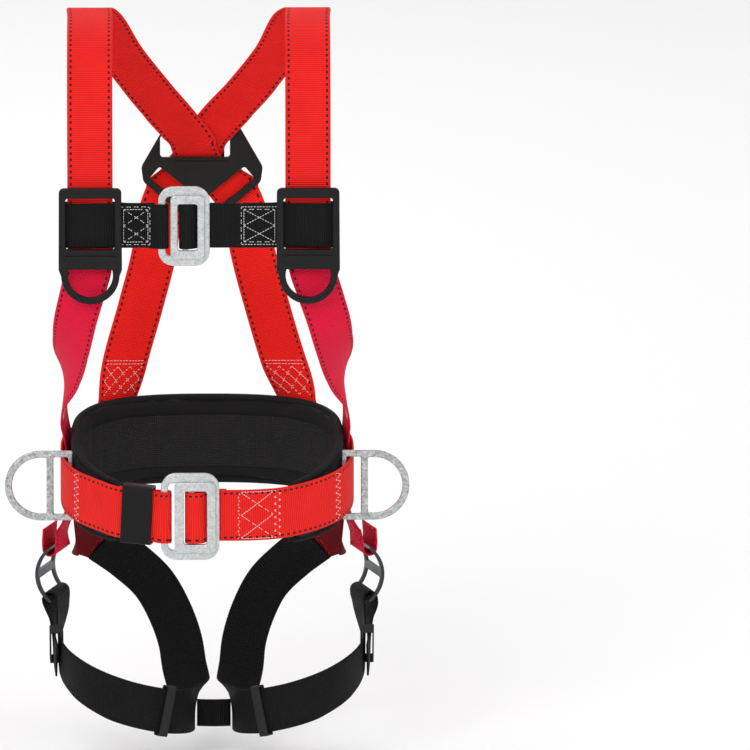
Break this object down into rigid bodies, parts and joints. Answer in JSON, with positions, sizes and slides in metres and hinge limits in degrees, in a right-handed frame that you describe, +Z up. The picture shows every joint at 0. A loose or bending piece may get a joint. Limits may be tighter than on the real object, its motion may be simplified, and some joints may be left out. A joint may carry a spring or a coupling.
{
  "type": "safety harness",
  "caption": "Full-body fall-arrest harness with shoulder, chest and leg webbing, a padded work-positioning belt with side D-rings, a dorsal plate and D-ring, and slide buckles.",
  "frame": {"origin": "centre of the waist belt ring, at the middle of the belt's height at the sides", "axes": "+Z up along the wearer, +X to the wearer's left, the wearer faces -Y"},
  "size_m": [0.404, 0.2521, 0.7354],
  "materials": {
    "webbing_red": "woven polyester webbing, ribbed across, with black tracer threads along both edges",
    "webbing_back": "woven red polyester webbing, ribbed across",
    "webbing_crimson": "woven crimson polyester webbing, ribbed across",
    "webbing_black": "woven black polyester webbing, ribbed across",
    "keeper_grey": "matte dark grey moulded band",
    "belt_keeper_black": "black woven elastic band with a slight sheen",
    "zinc": "zinc-plated steel, matte and mottled",
    "chest_plastic": "satin black moulded plastic",
    "dorsal_plastic": "satin charcoal moulded plastic",
    "leg_buckle_slate": "dark slate coated steel",
    "pad_black": "black air-mesh fabric over foam with a smooth bound rim"
  },
  "bodies": {
    "harness": {"shoulder_strap_r": "webbing_red", "shoulder_strap_l": "webbing_red", "belt_r": "webbing_red", "belt_l": "webbing_red", "back_strap_r": "webbing_back", "back_strap_l": "webbing_back", "side_strap_r": "webbing_crimson", "side_strap_l": "webbing_crimson", "hip_tab_r": "webbing_crimson", "hip_tab_l": "webbing_crimson", "leg_strap_r": "webbing_black", "leg_strap_l": "webbing_black", "hip_keeper_r": "keeper_grey", "hip_keeper_l": "keeper_grey", "leg_buckle_r": "leg_buckle_slate", "leg_buckle_l": "leg_buckle_slate", "seat_strap": "webbing_black", "waist_buckle_frame": "zinc", "waist_buckle_link": "zinc", "lumbar_pad": "pad_black", "dorsal_plate": "dorsal_plastic", "dorsal_loop": "webbing_black"},
    "chest_assembly": {"chest_plate_r": "chest_plastic", "chest_plate_l": "chest_plastic", "chest_strap_r": "webbing_black", "chest_strap_l": "webbing_black", "chest_buckle_frame": "zinc", "chest_buckle_link": "zinc"},
    "side_ring_r": {"side_d_ring_r": "zinc"},
    "side_ring_l": {"side_d_ring_l": "zinc"},
    "dorsal_ring": {"dorsal_d_ring": "zinc"},
    "waist_keeper": {"belt_keeper": "belt_keeper_black"},
    "thigh_keeper_r": {"crotch_keeper_r": "keeper_grey"},
    "thigh_keeper_l": {"crotch_keeper_l": "keeper_grey"}
  },
  "joints": [
    {"name": "chest_height", "type": "slide", "parent": "harness", "child": "chest_assembly", "axis": [0, 0, 1], "range_m": [0, 0.04]},
    {"name": "side_ring_r_swing", "type": "hinge", "parent": "harness", "child": "side_ring_r", "pos_m": [-0.13369, -0.04011, 0], "axis": [0, 0, 1], "range_deg": [-40, 70]},
    {"name": "side_ring_l_swing", "type": "hinge", "parent": "harness", "child": "side_ring_l", "pos_m": [0.13969, -0.04011, 0], "axis": [0, 0, 1], "range_deg": [-70, 40]},
    {"name": "dorsal_ring_swing", "type": "hinge", "parent": "harness", "child": "dorsal_ring", "pos_m": [-0.0015, 0.1192, 0.299], "axis": [1, 0, 0], "range_deg": [0, 150]},
    {"name": "belt_keeper_slide", "type": "slide", "parent": "harness", "child": "waist_keeper", "axis": [0.9618, -0.269, -0.0504], "range_m": [-0.005, 0.002]},
    {"name": "thigh_keeper_r_slide", "type": "slide", "parent": "harness", "child": "thigh_keeper_r", "axis": [0.7897, 0.5672, -0.2336], "range_m": [-0.0015, 0.003]},
    {"name": "thigh_keeper_l_slide", "type": "slide", "parent": "harness", "child": "thigh_keeper_l", "axis": [-0.7864, 0.5707, -0.2363], "range_m": [-0.0015, 0.003]}
  ]
}
